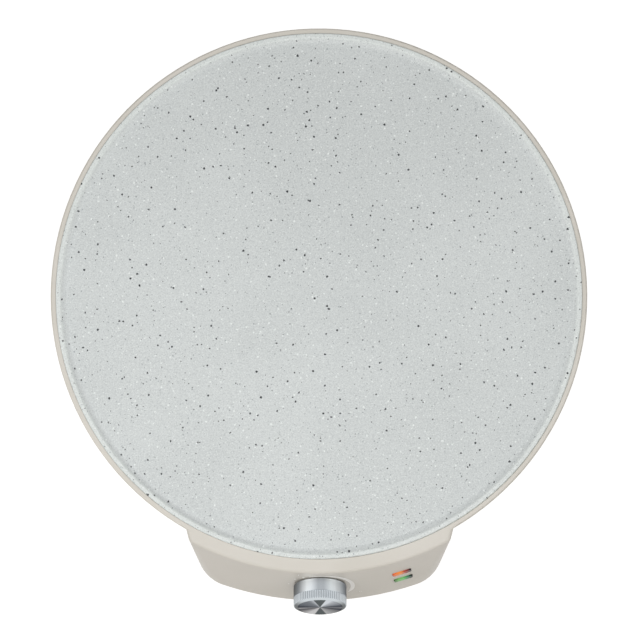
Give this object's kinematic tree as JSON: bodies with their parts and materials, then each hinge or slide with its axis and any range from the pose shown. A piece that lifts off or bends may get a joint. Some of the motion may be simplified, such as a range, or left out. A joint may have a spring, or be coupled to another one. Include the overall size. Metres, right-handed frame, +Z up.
{
  "type": "electric crepe maker",
  "caption": "Round electric crepe griddle with a low-lipped plate, thin housing rim, sloped front console, turning metal knob and two indicator windows.",
  "frame": {"origin": "on the table under the middle of the whole object's box", "axes": "+Z up, -Y towards the user with the console and knob, +Y towards the cord inlet, +X to the user's right"},
  "size_m": [0.3264, 0.3588, 0.0605],
  "materials": {
    "griddle": "pale grey speckled non-stick coat on cast aluminium",
    "element_sheath": "dark oxidised tube",
    "steatite": "unglazed",
    "tab_brass": "plain",
    "zinc_steel": "zinc plated",
    "screw_steel": "plated",
    "bright_sheet": "bright rolled",
    "housing_plastic": "warm grey, fine satin grain",
    "soft_black": "satin",
    "base_plastic": "warm grey, matt",
    "soft_feet": "matt",
    "control_case": "moulded phenolic",
    "neck_brass": "turned",
    "copper": "drawn copper",
    "orange_lens": "clear tinted",
    "green_lens": "clear tinted",
    "lamp_glass": "clear",
    "holder_plastic": "moulded",
    "block_plastic": "moulded",
    "fuse_metal": "plain",
    "brown_lead": "soft insulation",
    "blue_lead": "soft insulation",
    "black_lead": "soft insulation",
    "earth_lead": "green and yellow insulation",
    "white_lead": "soft insulation",
    "knob_metal": "turned and brushed"
  },
  "bodies": {
    "root": {"hot_plate": "griddle", "heating_element": "element_sheath", "element_beads": "steatite", "element_tabs": "tab_brass", "element_clamps": "zinc_steel", "clamp_screws": "screw_steel", "heat_reflector": "bright_sheet", "housing": "housing_plastic", "cord_inlet_bush": "soft_black", "plate_screws": "screw_steel", "earth_tag": "tab_brass", "earth_screw": "screw_steel", "base_tray": "base_plastic", "base_screws": "screw_steel", "feet": "soft_feet", "thermostat_body": "control_case", "thermostat_neck": "neck_brass", "thermostat_nut": "zinc_steel", "thermostat_tabs": "tab_brass", "sensor_bulb": "copper", "capillary_tube": "copper", "bulb_straps": "zinc_steel", "orange_lens": "orange_lens", "green_lens": "green_lens", "neon_lamps": "lamp_glass", "lamp_holder": "holder_plastic", "lamp_screws": "screw_steel", "terminal_block": "block_plastic", "terminal_screws": "screw_steel", "thermal_fuse": "fuse_metal", "fuse_clip": "zinc_steel", "live_lead": "brown_lead", "neutral_lead": "blue_lead", "switched_lead": "black_lead", "fuse_lead": "black_lead", "earth_lead": "earth_lead", "lamp_leads": "white_lead"},
    "knob": {"knob_cap": "knob_metal", "knob_core": "holder_plastic", "knob_clip": "screw_steel", "thermostat_spindle": "screw_steel"}
  },
  "joints": [
    {"name": "knob_turn", "type": "hinge", "parent": "root", "child": "knob", "pos_m": [0, -0.1611, 0.03863], "axis": [0, 0.9205, -0.3907], "range_deg": [0, 270]}
  ]
}
